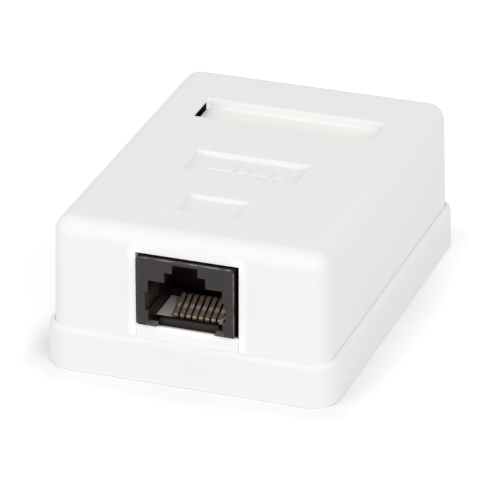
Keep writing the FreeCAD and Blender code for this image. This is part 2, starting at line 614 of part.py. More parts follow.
def contact_carrier():
    """Moulding that closes the floor and the back of the jack and holds the contacts."""
    plate = centred_box(CARRIER_WIDTH, CARRIER_FRONT_Y, JACK_BACK_Y, BOARD_TOP, CARRIER_TOP)
    rear = centred_box(CARRIER_WIDTH, CAVITY_BACK_Y + CARRIER_GAP, JACK_BACK_Y, BOARD_TOP,
                       BOARD_TOP + CARRIER_REAR_HEIGHT)
    tunnel_top = PIT_FLOOR + CONTACT_THICKNESS + 2 * CONTACT_PIT_GAP
    pit_back_y = CAVITY_BACK_Y - COMB_BACK
    apron = centred_box(PIT_WIDTH, PIT_FRONT_Y + CARRIER_GAP, CARRIER_FRONT_Y, BOARD_TOP, PIT_FLOOR)
    hollows = [centred_box(PIT_WIDTH, PIT_FRONT_Y, pit_back_y, PIT_FLOOR, CARRIER_TOP + 1)]
    for i in range(CONTACTS):
        x, y = contact_x(i), tail_y(i)
        tail_end = y + CONTACT_THICKNESS / 2 + CONTACT_PIT_GAP
        hollows.append(centred_box(SLOT_WIDTH, pit_back_y - 1, tail_end, PIT_FLOOR, tunnel_top, x))
        hollows.append(centred_box(SLOT_WIDTH, y - CONTACT_THICKNESS / 2 - CONTACT_PIT_GAP, tail_end,
                                   BOARD_TOP - 1, tunnel_top, x))
    return cut(fuse(plate, [apron, rear]), hollows)


def contact_path(i):
    """Middle line of a contact: up the tail, forward, round the nose, up to a crest and down again."""
    r = CONTACT_BEND_RADIUS
    climb, fall = math.radians(CONTACT_CLIMB_DEG), math.radians(CONTACT_FALL_DEG)
    tail = tail_y(i)
    nose = PIT_FRONT_Y + CONTACT_SETBACK + CONTACT_THICKNESS / 2
    centre = (nose + r, CONTACT_LOW_Z + r)
    leave = (centre[0] - r * math.sin(climb), centre[1] + r * math.cos(climb))
    crest = (leave[0] + CONTACT_CREST_REACH, leave[1] + CONTACT_CREST_REACH * math.tan(climb))
    end_y = CAVITY_BACK_Y - COMB_BACK - CONTACT_END_GAP
    end = (end_y, crest[1] - (end_y - crest[0]) * math.tan(fall))
    x = contact_x(i)

    def point(p):
        return V(x, p[0], p[1])

    # The tail's inside corner and the crest are tangent arcs between straight runs.
    t = CONTACT_THICKNESS
    tail_up = (tail, CONTACT_LOW_Z - t)
    tail_fore = (tail - t, CONTACT_LOW_Z)
    tail_mid = (tail - t + t * math.cos(math.pi / 4), CONTACT_LOW_Z - t + t * math.sin(math.pi / 4))
    turn = climb + fall
    tangent = CONTACT_CREST_RADIUS * math.tan(turn / 2)
    crest_in = (crest[0] - tangent * math.cos(climb), crest[1] - tangent * math.sin(climb))
    crest_out = (crest[0] + tangent * math.cos(fall), crest[1] - tangent * math.sin(fall))
    lean = (climb - fall) / 2
    sag = CONTACT_CREST_RADIUS * (1 / math.cos(turn / 2) - 1)
    crest_mid = (crest[0] + sag * math.sin(lean), crest[1] - sag * math.cos(lean))
    nose_mid_turn = (math.pi + climb) / 2
    nose_mid = (centre[0] - r * math.sin(nose_mid_turn), centre[1] + r * math.cos(nose_mid_turn))
    edges = [
        Part.LineSegment(V(x, tail, BOARD_BOTTOM - TAIL_STAND_OUT), point(tail_up)),
        Part.Arc(point(tail_up), point(tail_mid), point(tail_fore)),
        Part.LineSegment(point(tail_fore), V(x, centre[0], CONTACT_LOW_Z)),
        Part.Arc(V(x, centre[0], CONTACT_LOW_Z), point(nose_mid), point(leave)),
        Part.LineSegment(point(leave), point(crest_in)),
        Part.Arc(point(crest_in), point(crest_mid), point(crest_out)),
        Part.LineSegment(point(crest_out), point(end)),
    ]
    return Part.Wire([e.toShape() for e in edges])


def contact(i):
    """Flat strip swept along its bent path."""
    w, t = CONTACT_WIDTH / 2, CONTACT_THICKNESS / 2
    x, y, z = contact_x(i), tail_y(i), BOARD_BOTTOM - TAIL_STAND_OUT
    section = Part.makePolygon([V(x - w, y - t, z), V(x + w, y - t, z), V(x + w, y + t, z),
                                V(x - w, y + t, z), V(x - w, y - t, z)])
    return contact_path(i).makePipeShell([section], True, False)


def idc_block(side):
    """Row of towers with a wire slot across each way and a pocket for its clip."""
    x = side * BLOCK_SPACING / 2
    block = centred_box(BLOCK_WIDTH, BLOCK_FRONT_Y, BLOCK_FRONT_Y + BLOCK_LENGTH, BOARD_TOP, BLOCK_TOP, x)
    hollows = []
    for way_x, y in way_places():
        if way_x != x:
            continue
        half = WIRE_SLOT_WIDTH / 2
        floor_z = BLOCK_TOP - WIRE_SLOT_DEPTH
        lead_z = BLOCK_TOP - LEAD_IN
        outline = [(y - half, floor_z), (y + half, floor_z), (y + half, lead_z),
                   (y + half + LEAD_IN, BLOCK_TOP), (y - half - LEAD_IN, BLOCK_TOP), (y - half, lead_z)]
        hollows.append(prism(outline, "x", x - BLOCK_WIDTH, 2 * BLOCK_WIDTH))
        gap = CLIP_POCKET_GAP
        across, along = CLIP_THICKNESS / 2 + gap, CLIP_WIDTH / 2 + gap
        hollows.append(box(x - across, x + across, y - along, y + along, BOARD_TOP + CLIP_SEAT,
                           BLOCK_TOP + 1))
        tail = CLIP_TAIL_WIDTH / 2 + PAD_GAP
        hollows.append(box(x - across, x + across, y - tail, y + tail, BOARD_TOP - 1,
                           BOARD_TOP + CLIP_SEAT + 1))
    return cut(block, hollows)


def idc_clip(x, y):
    """Flat fork that cuts through the wire's jacket, with one solder tail."""
    w, tail = CLIP_WIDTH / 2, CLIP_TAIL_WIDTH / 2
    slit, mouth = CLIP_SLIT_WIDTH / 2, CLIP_MOUTH / 2 + CLIP_SLIT_WIDTH / 2
    foot = BOARD_TOP + CLIP_SEAT + CLIP_POCKET_GAP
    slit_z = CLIP_TOP - CLIP_SLIT_DEPTH
    throat_z = CLIP_TOP - CLIP_MOUTH
    tip_z = BOARD_BOTTOM - TAIL_STAND_OUT
    right = [(tail, tip_z), (tail, foot), (w, foot), (w, CLIP_TOP), (mouth, CLIP_TOP),
             (slit, throat_z), (slit, slit_z)]
    left = [(-a, z) for a, z in reversed(right)]
    outline = [(y + a, z) for a, z in right + left]
    return prism(outline, "x", x - CLIP_THICKNESS / 2, CLIP_THICKNESS)


def board_screw(side):
    """Pan head screw in its boss, cross recess cut; the thread is left off the shank."""
    x, y = side * BOSS_SPACING / 2, BOSS_Y
    seat = BOARD_TOP + SEAT_GAP
    top = seat + SCREW_HEAD_HEIGHT
    r, rim = SCREW_HEAD_RADIUS, top - SCREW_DOME_HEIGHT
    shoulder = V(SCREW_DOME_SHOULDER[0], 0, top - SCREW_DOME_SHOULDER[1])
    tip = seat - SCREW_LENGTH
    shank = SCREW_SHANK_RADIUS
    start, flat = V(0, 0, tip), V(SCREW_POINT_RADIUS, 0, tip)
    profile = [
        Part.makeLine(start, flat),
        Part.makeLine(flat, V(shank, 0, tip + shank)),
        Part.makeLine(V(shank, 0, tip + shank), V(shank, 0, seat)),
        Part.makeLine(V(shank, 0, seat), V(r, 0, seat)),
        Part.makeLine(V(r, 0, seat), V(r, 0, rim)),
        Part.Arc(V(r, 0, rim), shoulder, V(0, 0, top)).toShape(),
        Part.makeLine(V(0, 0, top), start),
    ]
    turned = Part.Face(Part.Wire(profile)).revolve(V(0, 0, 0), V(0, 0, 1), 360)
    turned = Part.makeSolid(turned) if turned.ShapeType != "Solid" else turned
    turned.translate(V(x, y, 0))
    slots = [
        centred_box(SCREW_RECESS_LENGTH, y - SCREW_RECESS_WIDTH / 2, y + SCREW_RECESS_WIDTH / 2,
                    top - SCREW_RECESS_DEPTH, top + 1, x),
        centred_box(SCREW_RECESS_WIDTH, y - SCREW_RECESS_LENGTH / 2, y + SCREW_RECESS_LENGTH / 2,
                    top - SCREW_RECESS_DEPTH, top + 1, x),
    ]
    return cut(turned, slots)


def pieces():
    yield "base", base()
    yield "cover", cover()
    yield "circuit_board", circuit_board()
    yield "jack_housing", jack_housing()
    yield "contact_carrier", contact_carrier()
    for i in range(CONTACTS):
        yield f"contact_{i + 1}", contact(i)
    for name, side in (("left", -1), ("right", 1)):
        yield f"idc_block_{name}", idc_block(side)
        yield f"board_screw_{name}", board_screw(side)
    for i, (x, y) in enumerate(way_places()):
        yield f"idc_clip_{i + 1}", idc_clip(x, y)


def main():
    os.makedirs("parts", exist_ok=True)
    for name, shape in pieces():
        if not shape.isValid() or len(shape.Solids) != 1:
            raise ValueError(f"{name}: {len(shape.Solids)} solids, valid {shape.isValid()}")
        shape.Solids[0].exportStep(f"parts/{name}.step")
        size = shape.BoundBox
        print(f"{name}: {size.XLength:.2f} x {size.YLength:.2f} x {size.ZLength:.2f} mm")


main()
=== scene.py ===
import bmesh
import bpy
import json
import math
import numpy as np
from mathutils import Matrix, Vector


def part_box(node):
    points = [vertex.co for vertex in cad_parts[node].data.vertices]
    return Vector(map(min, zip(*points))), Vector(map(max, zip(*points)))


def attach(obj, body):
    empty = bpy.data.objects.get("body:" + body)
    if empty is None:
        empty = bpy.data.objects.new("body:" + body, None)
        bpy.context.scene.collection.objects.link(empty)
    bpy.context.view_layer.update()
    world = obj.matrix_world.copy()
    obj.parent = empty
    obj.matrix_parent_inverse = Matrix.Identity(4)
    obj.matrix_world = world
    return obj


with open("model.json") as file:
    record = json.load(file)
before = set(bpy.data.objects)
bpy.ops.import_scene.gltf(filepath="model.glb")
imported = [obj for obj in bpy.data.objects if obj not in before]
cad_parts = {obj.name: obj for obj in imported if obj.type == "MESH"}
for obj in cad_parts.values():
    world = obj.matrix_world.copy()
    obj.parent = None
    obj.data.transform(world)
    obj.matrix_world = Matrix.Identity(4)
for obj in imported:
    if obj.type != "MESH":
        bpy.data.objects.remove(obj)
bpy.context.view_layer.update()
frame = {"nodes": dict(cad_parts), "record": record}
nodes = frame["nodes"]
mm = 0.001
print("frame loaded:", len(nodes), "nodes")


# a long lens in front and to the right, looking down on the lid
viewSettings = {
    "lookAt": (-1.16 * mm, -3.79 * mm, 12.0 * mm),
    "azimuth": 19.82,       # degrees towards +X from straight ahead
    "elevation": 25.89,
    "roll": -0.374,
    "distance": 702.7 * mm,
    "lens": 337.35,         # in millimetres, as the sensor is
    "sensorWidth": 36.0,
    "clipStart": 0.01,
    "clipEnd": 20.0,
}


def placeCamera(s):
    # the view's direction from its two angles, then its right and up turned by the roll
    az, el, roll = (math.radians(s[k]) for k in ("azimuth", "elevation", "roll"))
    ahead = Vector((-math.sin(az) * math.cos(el), math.cos(az) * math.cos(el), -math.sin(el)))
    right = ahead.cross(Vector((0, 0, 1))).normalized()
    up = right.cross(ahead)
    rolledRight = right * math.cos(roll) + up * math.sin(roll)
    rolledUp = up * math.cos(roll) - right * math.sin(roll)
    data = bpy.data.cameras.new("boxCamera")
    data.lens, data.sensor_width = s["lens"], s["sensorWidth"]
    data.clip_start, data.clip_end = s["clipStart"], s["clipEnd"]
    camera = bpy.data.objects.new("boxCamera", data)
    bpy.context.scene.collection.objects.link(camera)
    camera.matrix_world = Matrix((rolledRight, rolledUp, -ahead)).transposed().to_4x4()
    camera.location = Vector(s["lookAt"]) - ahead * s["distance"]
    bpy.context.scene.camera = camera


placeCamera(viewSettings)
bpy.context.scene.view_settings.view_transform = "Standard"
print("camera placed")


# small steps that several node trees share
def mathNode(tree, operation, a, b=None, clamp=False):
    node = tree.nodes.new("ShaderNodeMath")
    node.operation, node.use_clamp = operation, clamp
    for socket, value in zip(node.inputs, (a, b)):
        if value is None:
            continue
        if isinstance(value, (int, float)):
            socket.default_value = value
        else:
            tree.links.new(value, socket)
    return node.outputs[0]


def vectorMath(tree, operation, a, b=None):
    node = tree.nodes.new("ShaderNodeVectorMath")
    node.operation = operation
    for socket, value in zip(node.inputs, (a, b)):
        if value is None:
            continue
        if isinstance(value, tuple):
            socket.default_value = value
        else:
            tree.links.new(value, socket)
    return node.outputs["Value" if operation == "LENGTH" else "Vector"]


def fadeNode(tree, value, start, end, low, high):
    # smooth step from low to high as the value goes from start to end
    fade = tree.nodes.new("ShaderNodeMapRange")
    fade.interpolation_type = "SMOOTHSTEP"
    settings = {"Value": value, "From Min": start, "From Max": end, "To Min": low, "To Max": high}
    for label, setting in settings.items():
        if hasattr(setting, "links"):
            tree.links.new(setting, fade.inputs[label])
        else:
            fade.inputs[label].default_value = setting
    return fade.outputs["Result"]


def mixTones(tree, share, tone, other):
    # the first tone where the share is zero, the other where it is one;
    # a mix node keeps its two colours in inputs 6 and 7 and the result in output 2
    mix = tree.nodes.new("ShaderNodeMix")
    mix.data_type = "RGBA"
    tree.links.new(share, mix.inputs["Factor"])
    for socket, value in ((mix.inputs[6], tone), (mix.inputs[7], other)):
        if hasattr(value, "links"):
            tree.links.new(value, socket)
        else:
            socket.default_value = (*value, 1)
    return mix.outputs[2]


def seenDirectly(tree):
    # one for rays from the lens, off gloss or through glass,
    # and zero for the rays that only light things
    path = tree.nodes.new("ShaderNodeLightPath")
    seen = mathNode(tree, "MAXIMUM", path.outputs["Is Camera Ray"], path.outputs["Is Glossy Ray"])
    return mathNode(tree, "MAXIMUM", seen, path.outputs["Is Transmission Ray"])


def noiseAt(tree, place, scale, detail=2):
    # noise from zero to one; the scale is a number or another node's output
    noise = tree.nodes.new("ShaderNodeTexNoise")
    noise.inputs["Detail"].default_value = detail
    tree.links.new(place, noise.inputs["Vector"])
    if hasattr(scale, "links"):
        tree.links.new(scale, noise.inputs["Scale"])
    else:
        noise.inputs["Scale"].default_value = scale
    return noise.outputs["Fac"]


def gridFaces(rows, columns):
    # each face joins a grid point to its right, upper right and upper neighbours
    i = np.arange(rows * columns).reshape(rows, columns)
    return np.stack([i[:-1, :-1], i[:-1, 1:], i[1:, 1:], i[1:, :-1]], -1).reshape(-1, 4)


# soft studio light and a white sweep
lightSettings = {
    "worldColour": (1.0, 1.0, 1.0),
    "worldStrength": 0.7,
    "seenColour": (1.0, 1.0, 1.0),
    "aimedAt": (0.0, 0.0, 0.01),
    "lamps": {              # place in metres, side of the square, watts
        "keyLamp": ((0.75, -0.75, 0.6), 0.7, 4.45),
        "leftLamp": ((-0.6, -0.8, 0.6), 0.7, 3.25),
        "sideLamp": ((1.15, 0.0, 0.35), 0.7, 0.1),
        "rearLamp": ((0.2, 0.85, 0.9), 0.7, 0.34),
    },
}


def areaLamp(name, place, size, power, target):
    data = bpy.data.lights.new(name, "AREA")
    data.shape, data.size, data.energy = "SQUARE", size, power
    lamp = bpy.data.objects.new(name, data)
    bpy.context.scene.collection.objects.link(lamp)
    lamp.location = place
    lamp.rotation_mode = "QUATERNION"
    lamp.rotation_quaternion = (Vector(target) - Vector(place)).to_track_quat("-Z", "Y")


def studioLight(s):
    # a dimmer world lights the box than the plain white one that is seen, and four lamps shape it
    world = bpy.data.worlds.new("studio")
    bpy.context.scene.world = world
    world.use_nodes = True
    tree = world.node_tree
    tree.nodes.clear()
    out = tree.nodes.new("ShaderNodeOutputWorld")
    lighting = tree.nodes.new("ShaderNodeBackground")
    lighting.inputs["Color"].default_value = (*s["worldColour"], 1)
    lighting.inputs["Strength"].default_value = s["worldStrength"]
    seen = tree.nodes.new("ShaderNodeBackground")
    seen.inputs["Color"].default_value = (*s["seenColour"], 1)
    mix = tree.nodes.new("ShaderNodeMixShader")
    tree.links.new(seenDirectly(tree), mix.inputs["Fac"])
    tree.links.new(lighting.outputs[0], mix.inputs[1])
    tree.links.new(seen.outputs[0], mix.inputs[2])
    tree.links.new(mix.outputs[0], out.inputs["Surface"])
    for name, (place, size, power) in s["lamps"].items():
        areaLamp(name, place, size, power, s["aimedAt"])


# the floor reads as paper white to the eye, by a glow that is only seen; the glow is weaker against
# the box, a painted shadow round its foot
sweepSettings = {
    "halfWidth": 3.0,
    "gridPoints": 3,
    "colour": (0.82, 0.82, 0.82),
    "footprint": (24.4 * mm, 31.0 * mm, 1.0),       # half sizes of the painted shadow's core
    "squeeze": (1.0, 0.5, 1.0),                     # the painted shadow reaches further out at the front
    "nearGlow": 0.1,
    "farGlow": 0.3,
    "shadeWidth": 6.0 * mm,
    "backGlow": 0.14,                               # painted light added behind the box, lifting its shadow there
    "backFrom": 4.0 * mm,
    "backTo": 34.0 * mm,
    "shadeSpots": (         # place, reach and depth of spots of painted shade; a depth below zero makes a spot of painted light
        ((27.0 * mm, -41.0 * mm, 0.0), (9.0 * mm, 7.0 * mm, 1.0), 0.03),
        ((-28.3 * mm, -24.0 * mm, 0.0), (8.5 * mm, 8.5 * mm, 1.0), 0.048),
        ((-24.5 * mm, -34.0 * mm, 0.0), (4.5 * mm, 4.5 * mm, 1.0), -0.065),
        ((25.2 * mm, -2.0 * mm, 0.0), (4.5 * mm, 60.0 * mm, 1.0), -0.055),
    ),
}


def paperSweep(s):
    # flat grid: x and y run from -halfWidth to halfWidth, z is zero
    count = s["gridPoints"]
    run = np.linspace(-s["halfWidth"], s["halfWidth"], count)
    x, y = np.meshgrid(run, run)
    verts = np.stack([x.ravel(), y.ravel(), np.zeros(x.size)], 1)
    mesh = bpy.data.meshes.new("paperSweep")
    mesh.from_pydata(verts.tolist(), [], gridFaces(count, count).tolist())
    sweep = bpy.data.objects.new("paperSweep", mesh)
    bpy.context.scene.collection.objects.link(sweep)
    mat = bpy.data.materials.new("sweepPaper")
    mat.use_nodes = True
    tree = mat.node_tree
    tree.nodes.clear()
    out = tree.nodes.new("ShaderNodeOutputMaterial")
    paper = tree.nodes.new("ShaderNodeBsdfDiffuse")
    paper.inputs["Color"].default_value = (*s["colour"], 1)
    glow = tree.nodes.new("ShaderNodeEmission")
    place = tree.nodes.new("ShaderNodeTexCoord").outputs["Object"]
    # distance outside the footprint: |place| less the half sizes, cut off at zero and squeezed,
    # then its length
    outside = vectorMath(tree, "ABSOLUTE", place)
    outside = vectorMath(tree, "SUBTRACT", outside, s["footprint"])
    outside = vectorMath(tree, "MAXIMUM", outside, (0.0, 0.0, 0.0))
    outside = vectorMath(tree, "MULTIPLY", outside, s["squeeze"])
    away = vectorMath(tree, "LENGTH", outside)
    # glow weakest against the box: a painted shadow round its foot
    level = fadeNode(tree, away, 0.0, s["shadeWidth"], s["nearGlow"], s["farGlow"])
    split = tree.nodes.new("ShaderNodeSeparateXYZ")
    tree.links.new(place, split.inputs[0])
    back = fadeNode(tree, split.outputs["Y"], s["backFrom"], s["backTo"], 0.0, s["backGlow"])
    level = mathNode(tree, "ADD", level, back)
    # spots of painted shade, and of painted light where the depth is below zero
    for centre, reach, depth in s["shadeSpots"]:
        away = vectorMath(tree, "DIVIDE", vectorMath(tree, "SUBTRACT", place, centre), reach)
        away = vectorMath(tree, "LENGTH", away)
        level = mathNode(tree, "SUBTRACT", level, fadeNode(tree, away, 0.0, 1.0, depth, 0.0))
    strength = mathNode(tree, "MULTIPLY", level, seenDirectly(tree))
    tree.links.new(strength, glow.inputs["Strength"])
    total = tree.nodes.new("ShaderNodeAddShader")
    tree.links.new(paper.outputs[0], total.inputs[0])
    tree.links.new(glow.outputs[0], total.inputs[1])
    tree.links.new(total.outputs[0], out.inputs["Surface"])
    mesh.materials.append(mat)


studioLight(lightSettings)
paperSweep(sweepSettings)
print("studio ready")


# shared effects, each a node group built once
def newGroup(name, inputs, outputs):
    group = bpy.data.node_groups.new(name, "ShaderNodeTree")
    for label, kind, value in inputs:
        socket = group.interface.new_socket(name=label, in_out="INPUT", socket_type=kind)
        if value is not None:
            socket.default_value = value
    for label, kind in outputs:
        group.interface.new_socket(name=label, in_out="OUTPUT", socket_type=kind)
    return group, group.nodes.new("NodeGroupInput"), group.nodes.new("NodeGroupOutput")


def sparkGrainGroup():
    # moulding grain: the height is the fine noise plus a share of the coarse,
    # and the roughness swings with the coarse noise about its own value
    group, gin, gout = newGroup(
        "sparkGrain",
        [("Vector", "NodeSocketVector", None), ("Fine Scale", "NodeSocketFloat", 5200.0),
         ("Coarse Scale", "NodeSocketFloat", 900.0), ("Coarse Share", "NodeSocketFloat", 0.3),
         ("Roughness", "NodeSocketFloat", 0.5), ("Roughness Swing", "NodeSocketFloat", 0.08)],
        [("Height", "NodeSocketFloat"), ("Roughness", "NodeSocketFloat")])
    fine = noiseAt(group, gin.outputs["Vector"], gin.outputs["Fine Scale"])
    coarse = noiseAt(group, gin.outputs["Vector"], gin.outputs["Coarse Scale"], 3)
    share = mathNode(group, "MULTIPLY", coarse, gin.outputs["Coarse Share"])
    height = mathNode(group, "ADD", fine, share)
    swing = mathNode(group, "SUBTRACT", coarse, 0.5)
    swing = mathNode(group, "MULTIPLY", swing, gin.outputs["Roughness Swing"])
    rough = mathNode(group, "ADD", gin.outputs["Roughness"], swing, clamp=True)
    group.links.new(height, gout.inputs["Height"])
    group.links.new(rough, gout.inputs["Roughness"])
    return group


def toneDriftGroup():
    # slow drift between two near tones, as in any moulded or plated batch
    group, gin, gout = newGroup(
        "toneDrift",
        [("Vector", "NodeSocketVector", None), ("Scale", "NodeSocketFloat", 40.0),
         ("Tone A", "NodeSocketColor", (0.8, 0.8, 0.8, 1)),
         ("Tone B", "NodeSocketColor", (0.78, 0.78, 0.78, 1))],
        [("Color", "NodeSocketColor")])
    noise = noiseAt(group, gin.outputs["Vector"], gin.outputs["Scale"], 3)
    tone = mixTones(group, noise, gin.outputs["Tone A"], gin.outputs["Tone B"])
    group.links.new(tone, gout.inputs["Color"])
    return group


def boxMaskGroup():
    # one inside a box, and down to zero over the softness outside it, by the distance from the box:
    # |place less centre| less the half size, cut off at zero, then its length
    group, gin, gout = newGroup(
        "boxMask",
        [("Vector", "NodeSocketVector", None), ("Centre", "NodeSocketVector", None),
         ("Half Size", "NodeSocketVector", None), ("Softness", "NodeSocketFloat", 0.5 * mm)],
        [("Mask", "NodeSocketFloat")])
    place = vectorMath(group, "SUBTRACT", gin.outputs["Vector"], gin.outputs["Centre"])
    place = vectorMath(group, "ABSOLUTE", place)
    place = vectorMath(group, "SUBTRACT", place, gin.outputs["Half Size"])
    place = vectorMath(group, "MAXIMUM", place, (0.0, 0.0, 0.0))
    away = vectorMath(group, "LENGTH", place)
    group.links.new(fadeNode(group, away, 0.0, gin.outputs["Softness"], 1.0, 0.0), gout.inputs["Mask"])
    return group


sparkGrain = sparkGrainGroup()
toneDrift = toneDriftGroup()
boxMask = boxMaskGroup()


def placeGroup(tree, group, **values):
    node = tree.nodes.new("ShaderNodeGroup")
    node.node_tree = group
    for label, value in values.items():
        socket = node.inputs[label.replace("_", " ")]
        if hasattr(value, "links"):
            tree.links.new(value, socket)
        else:
            socket.default_value = value
    return node


def darkEdges(tree, place, tone, s):
    # painted shade towards each strip's edges, over their bare cut bronze: the distance from a strip's
    # middle line is the fraction of x over the pitch, less a half, made positive, times the pitch
    split = tree.nodes.new("ShaderNodeSeparateXYZ")
    tree.links.new(place, split.inputs[0])
    away = mathNode(tree, "DIVIDE", split.outputs["X"], s["pitch"])
    away = mathNode(tree, "FRACT", away)
    away = mathNode(tree, "SUBTRACT", away, 0.5)
    away = mathNode(tree, "ABSOLUTE", away)
    away = mathNode(tree, "MULTIPLY", away, s["pitch"])
    return mixTones(tree, fadeNode(tree, away, s["from"], s["to"], 0.0, 1.0), tone, s["tone"])


patchSettings = {           # noise levels, and what is left between the patches
    "from": 0.35, "to": 0.6, "least": 0.15,
}


def zoneMask(tree, place, zone):
    # one inside the zone's box, fading over its softness, and broken into patches where a painted
    # highlight is uneven
    low, high = np.array(zone["low"]), np.array(zone["high"])
    mask = placeGroup(tree, boxMask, Vector=place, Centre=tuple((low + high) / 2),
                      Half_Size=tuple((high - low) / 2), Softness=zone["softness"]).outputs["Mask"]
    if "patchScale" in zone:
        s = patchSettings
        noise = noiseAt(tree, place, zone["patchScale"])
        patches = fadeNode(tree, noise, s["from"], s["to"], s["least"], 1.0)
        mask = mathNode(tree, "MULTIPLY", mask, patches)
    return mask


def mouldedMaterial(name, s):
    # plastic or plated metal with drifting tone, zones of painted light and shade, grain in the gloss
    # and a bump of the grain
    mat = bpy.data.materials.new(name)
    mat.use_nodes = True
    tree = mat.node_tree
    shader = tree.nodes["Principled BSDF"]
    place = tree.nodes.new("ShaderNodeTexCoord").outputs["Object"]
    tone = placeGroup(tree, toneDrift, Vector=place, Scale=s["driftScale"],
                      Tone_A=(*s["toneA"], 1), Tone_B=(*s["toneB"], 1)).outputs["Color"]
    if "paint" in s:        # colours kept on the mesh, a little faded by the drifting tone
        paint = tree.nodes.new("ShaderNodeAttribute")
        paint.attribute_name = s["paint"]
        fade = mathNode(tree, "MULTIPLY", noiseAt(tree, place, s["driftScale"]), s["paintFade"])
        tone = mixTones(tree, fade, paint.outputs["Color"], tone)
    for zone in s.get("zones", ()):
        tone = mixTones(tree, zoneMask(tree, place, zone), tone, zone["tone"])
    # painted shade towards each contact strip's edges
    if "edges" in s:
        tone = darkEdges(tree, place, tone, s["edges"])
    grain = placeGroup(tree, sparkGrain, Vector=place, Fine_Scale=s["fineScale"],
                       Coarse_Scale=s["coarseScale"], Coarse_Share=s["coarseShare"],
                       Roughness=s["roughness"], Roughness_Swing=s["roughnessSwing"])
    bump = tree.nodes.new("ShaderNodeBump")
    bump.inputs["Strength"].default_value = s["bumpStrength"]
    bump.inputs["Distance"].default_value = s["bumpDepth"]
    tree.links.new(grain.outputs["Height"], bump.inputs["Height"])
    tree.links.new(bump.outputs["Normal"], shader.inputs["Normal"])
    tree.links.new(tone, shader.inputs["Base Color"])
    tree.links.new(grain.outputs["Roughness"], shader.inputs["Roughness"])
    shader.inputs["Metallic"].default_value = s.get("metallic", 0.0)
    shader.inputs["Specular IOR Level"].default_value = s.get("specular", 0.5)
    return mat


jackLow, jackHigh = (np.array(v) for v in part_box("jack_housing"))
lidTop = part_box("cover")[1][2]
# a pale tone painted as light on dark seams and feet
paintedLightTone = (0.97, 0.97, 0.965)
unlit = (0.012, 0.006, 0.005)
inTheGap = (0.01, 0.004, 0.003)
coverZones = [
    {                       # painted light: a pale margin round the jack's opening, lifting the shade there
        "low": (-8.3 * mm, -40.0 * mm, 0.0), "high": (8.3 * mm, -26.0 * mm, jackHigh[2] + 0.25 * mm),
        "softness": 1.9 * mm, "tone": (0.975, 0.975, 0.965),
    },
    {                       # painted light on the rim that drops into the base, lifting the seam's shade
        "low": (-30.0 * mm, -40.0 * mm, 0.0), "high": (30.0 * mm, 40.0 * mm, 7.15 * mm),
        "softness": 0.15 * mm, "tone": paintedLightTone,
    },
    {                       # paler floor of the label recess than the lid round it
        "low": (-14.4 * mm, 15.3 * mm, lidTop - 4.0 * mm),
        "high": (15.4 * mm, 18.0 * mm, lidTop - 2.0 * mm),
        "softness": 1.4 * mm, "tone": (0.89, 0.885, 0.865),
    },
]
recesses = [
    {                       # for the label
        "middle": 0.5 * mm, "halfLength": 15.0 * mm, "backEdge": 18.55 * mm, "width": 6.9 * mm,
        "depth": 1.5 * mm, "lipTone": 0.862, "footTone": 0.87,
    },
    {                       # for the badge
        "middle": 0.0, "halfLength": 9.1 * mm, "backEdge": -0.375 * mm, "width": 6.95 * mm,
        "depth": 0.7 * mm, "lipTone": 0.86, "footTone": 0.822,
    },
    {                       # for the finger
        "middle": 0.0, "halfLength": 4.7 * mm, "backEdge": -15.85 * mm, "width": 5.7 * mm,
        "depth": 0.6 * mm, "lipTone": 0.856, "footTone": 0.822,
    },
]
recessShade = {             # how far each painted tone reaches from its edge, and how softly it ends
    "lipReach": (0.1 * mm, 0.35 * mm), "lipDrop": 0.2 * mm, "lipSoftness": 0.9 * mm,
    "footReach": 0.5 * mm, "footRise": 0.2 * mm, "footSoftness": 0.3 * mm,
    "sideReach": 0.3 * mm, "sideFront": 0.4 * mm, "sideBack": 0.5 * mm,
    "sideRise": 0.1 * mm, "sideDrop": 0.05 * mm, "sideSoftness": 0.15 * mm,
    "leftTone": 0.805, "rightTone": 0.855,
    "blueShare": 0.99,      # of each tone's red and green
}


def recessZones(recess, s):
    # a painted highlight on the lip behind the back edge, painted shade at the foot of the wall below
    # it, and painted shade on the side walls
    def warmGrey(level):
        return (level, level, level * s["blueShare"])

    left, right = recess["middle"] - recess["halfLength"], recess["middle"] + recess["halfLength"]
    back, front = recess["backEdge"], recess["backEdge"] - recess["width"]
    foot = lidTop - recess["depth"]
    zones = [
        {
            "low": (left, back - s["lipReach"][0], lidTop - s["lipDrop"]),
            "high": (right, back + s["lipReach"][1], lidTop),
            "softness": s["lipSoftness"], "tone": warmGrey(recess["lipTone"]),
        },
        {
            "low": (left, back - s["footReach"], foot), "high": (right, back, foot + s["footRise"]),
            "softness": s["footSoftness"], "tone": warmGrey(recess["footTone"]),
        },
    ]
    for edge, level in ((left, s["leftTone"]), (right, s["rightTone"])):
        zones.append({
            "low": (edge - s["sideReach"], front + s["sideFront"], foot + s["sideRise"]),
            "high": (edge + s["sideReach"], back - s["sideBack"], lidTop - s["sideDrop"]),
            "softness": s["sideSoftness"], "tone": warmGrey(level),
        })
    return zones


